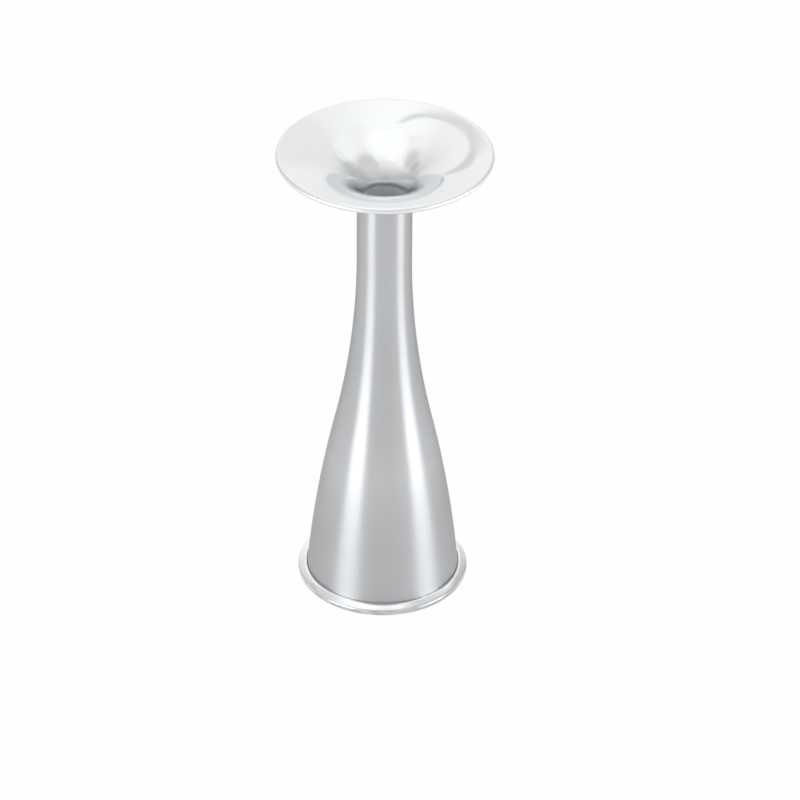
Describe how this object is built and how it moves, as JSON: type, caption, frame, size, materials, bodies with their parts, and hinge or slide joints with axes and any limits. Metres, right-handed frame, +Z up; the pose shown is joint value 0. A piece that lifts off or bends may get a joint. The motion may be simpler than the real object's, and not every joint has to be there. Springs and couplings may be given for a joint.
{
  "type": "monaural stethoscope",
  "caption": "Horn-shaped monaural stethoscope in aluminium: a dished ear plate on a straight neck that flares to a rolled bell rim, for listening to the foetal heart.",
  "frame": {"origin": "centre of the ring on which the bell rim stands", "axes": "+Z up along the horn's axis, from the bell mouth to the ear plate; X and Y are free, because every piece is a revolve"},
  "size_m": [0.0664, 0.0664, 0.155],
  "materials": {
    "polished_aluminium": "mirror polished",
    "satin_aluminium": "satin, with a polished rim",
    "wire_aluminium": "drawn wire"
  },
  "bodies": {
    "root": {"ear_plate": "polished_aluminium", "horn_body": "satin_aluminium", "rim_wire": "wire_aluminium"}
  },
  "joints": []
}
